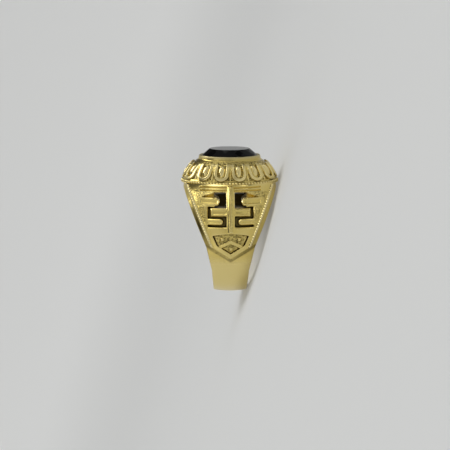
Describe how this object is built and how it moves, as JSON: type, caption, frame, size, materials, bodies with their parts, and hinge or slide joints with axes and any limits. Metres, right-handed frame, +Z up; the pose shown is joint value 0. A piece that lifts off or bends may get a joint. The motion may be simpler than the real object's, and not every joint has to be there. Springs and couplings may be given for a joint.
{
  "type": "onyx signet ring",
  "caption": "Heavy gold signet ring with an oval faceted black stone, an egg and dart frieze round its head and pierced fret shoulders, lying on its side.",
  "frame": {"origin": "middle of the ring's bounding box at the level of the surface that it lies on", "axes": "+Z up from that surface, +X from the shank towards the head and the stone, Y from shoulder to shoulder"},
  "size_m": [0.0264, 0.0232, 0.0171],
  "materials": {
    "gold": "cast yellow gold, polished on the high points, satin on the shank",
    "onyx": "polished black onyx, faceted"
  },
  "bodies": {
    "root": {"gold_ring": "gold", "onyx_stone": "onyx"}
  },
  "joints": []
}
